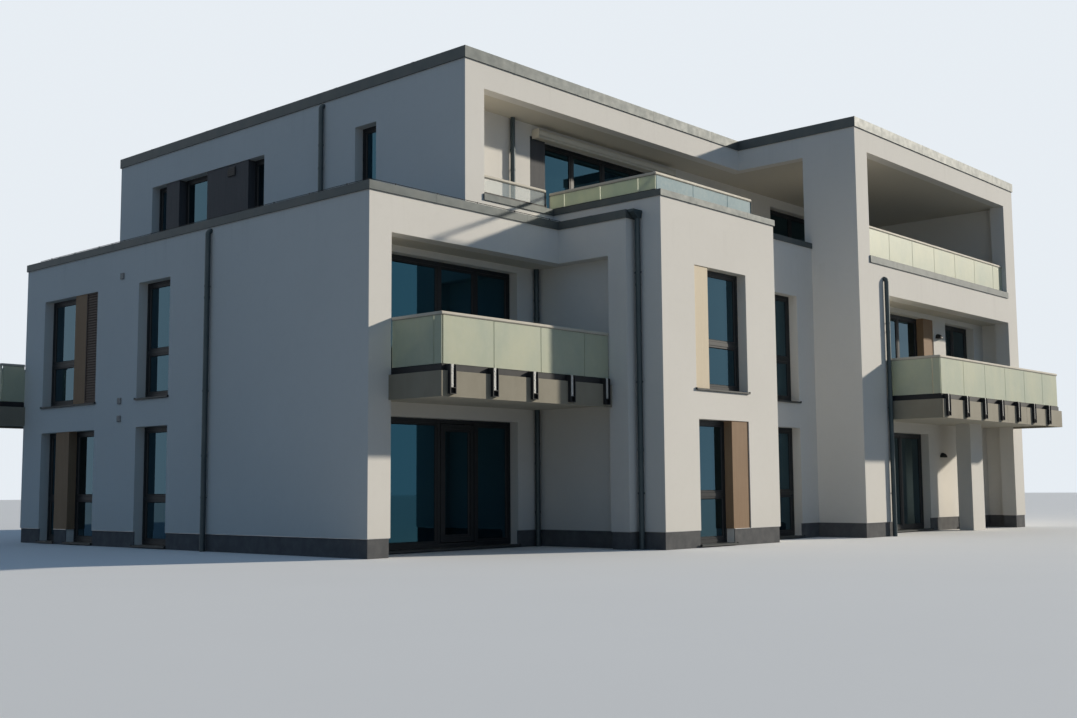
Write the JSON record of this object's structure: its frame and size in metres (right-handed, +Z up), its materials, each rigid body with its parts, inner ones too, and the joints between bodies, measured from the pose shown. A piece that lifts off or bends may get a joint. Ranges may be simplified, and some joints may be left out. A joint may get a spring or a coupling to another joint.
{
  "type": "apartment building",
  "caption": "Flat-roofed apartment block with loggias, glazed balconies, a projecting bay and a set-back top storey with roof terraces.",
  "frame": {"origin": "middle of the building's footprint, at ground level", "axes": "+X to the right along the front, +Y from the front to the rear, +Z up"},
  "size_m": [21.135, 17.07, 9.26],
  "materials": {
    "render_white": "matte",
    "soffit_cream": "matte",
    "concrete": "matte",
    "roofing": "matte",
    "plinth_grey": "matte",
    "zinc_sheet": "satin",
    "pipe_zinc": "satin",
    "frame_anthracite": "satin",
    "window_glass": "polished",
    "sill_metal": "satin",
    "panel_brown": "matte",
    "panel_cream": "matte",
    "panel_dark": "matte",
    "louvre_brown": "satin",
    "fascia_grey": "satin",
    "frosted_glass": "satin",
    "rail_aluminium": "satin",
    "clamp_dark": "satin",
    "bracket_steel": "satin",
    "awning_cream": "satin",
    "vent_grey": "satin",
    "handle_steel": "satin"
  },
  "bodies": {
    "building": {"awning_cassette": "awning_cream", "balcony_brackets": "bracket_steel", "balcony_fascia": "fascia_grey", "balcony_slab": "soffit_cream", "bay_front_wall": "render_white", "bay_left_wall": "render_white", "bay_right_wall": "render_white", "brown_panels": "panel_brown", "cream_panel": "panel_cream", "dark_panels": "panel_dark", "downpipes": "pipe_zinc", "first_floor_glass": "window_glass", "first_floor_slab": "concrete", "first_floor_window_frames": "frame_anthracite", "ground_floor_glass": "window_glass", "ground_floor_slab": "concrete", "ground_floor_window_frames": "frame_anthracite", "gutter_hopper": "zinc_sheet", "handrails": "rail_aluminium", "left_wall": "render_white", "loggia_back_wall": "render_white", "loggia_front_wall": "render_white", "loggia_side_frame": "render_white", "louvred_panel": "louvre_brown", "main_coping": "zinc_sheet", "penthouse_back_wall": "render_white", "penthouse_coping": "zinc_sheet", "penthouse_glass": "window_glass", "penthouse_left_wall": "render_white", "penthouse_rear_wall": "render_white", "penthouse_roof_band": "render_white", "penthouse_roof_slab": "roofing", "penthouse_window_frames": "frame_anthracite", "plinth": "plinth_grey", "railing_clamp_rails": "clamp_dark", "railing_glass": "frosted_glass", "rear_balcony_slab": "soffit_cream", "rear_corner_wall": "render_white", "rear_wall": "render_white", "recess_wall": "render_white", "right_balcony_slab": "soffit_cream", "right_end_wall": "render_white", "right_wing_back_wall": "render_white", "right_wing_band": "render_white", "right_wing_coping": "zinc_sheet", "right_wing_front_piers": "render_white", "right_wing_left_wall": "render_white", "terrace_coping": "zinc_sheet", "terrace_door_frame": "frame_anthracite", "terrace_door_hinge_pins": "handle_steel", "terrace_slab": "soffit_cream", "terrace_upstand": "render_white", "vent_cowls": "vent_grey", "window_sills": "sill_metal"},
    "terrace_door": {"terrace_door_leaf": "frame_anthracite", "terrace_door_glass": "window_glass", "terrace_door_handle": "handle_steel", "terrace_door_knuckles": "handle_steel"}
  },
  "joints": [
    {"name": "terrace_door_hinge", "type": "hinge", "parent": "building", "child": "terrace_door", "pos_m": [-7.37, -3.445, 0], "axis": [0, 0, 1], "range_deg": [0, 90]}
  ]
}
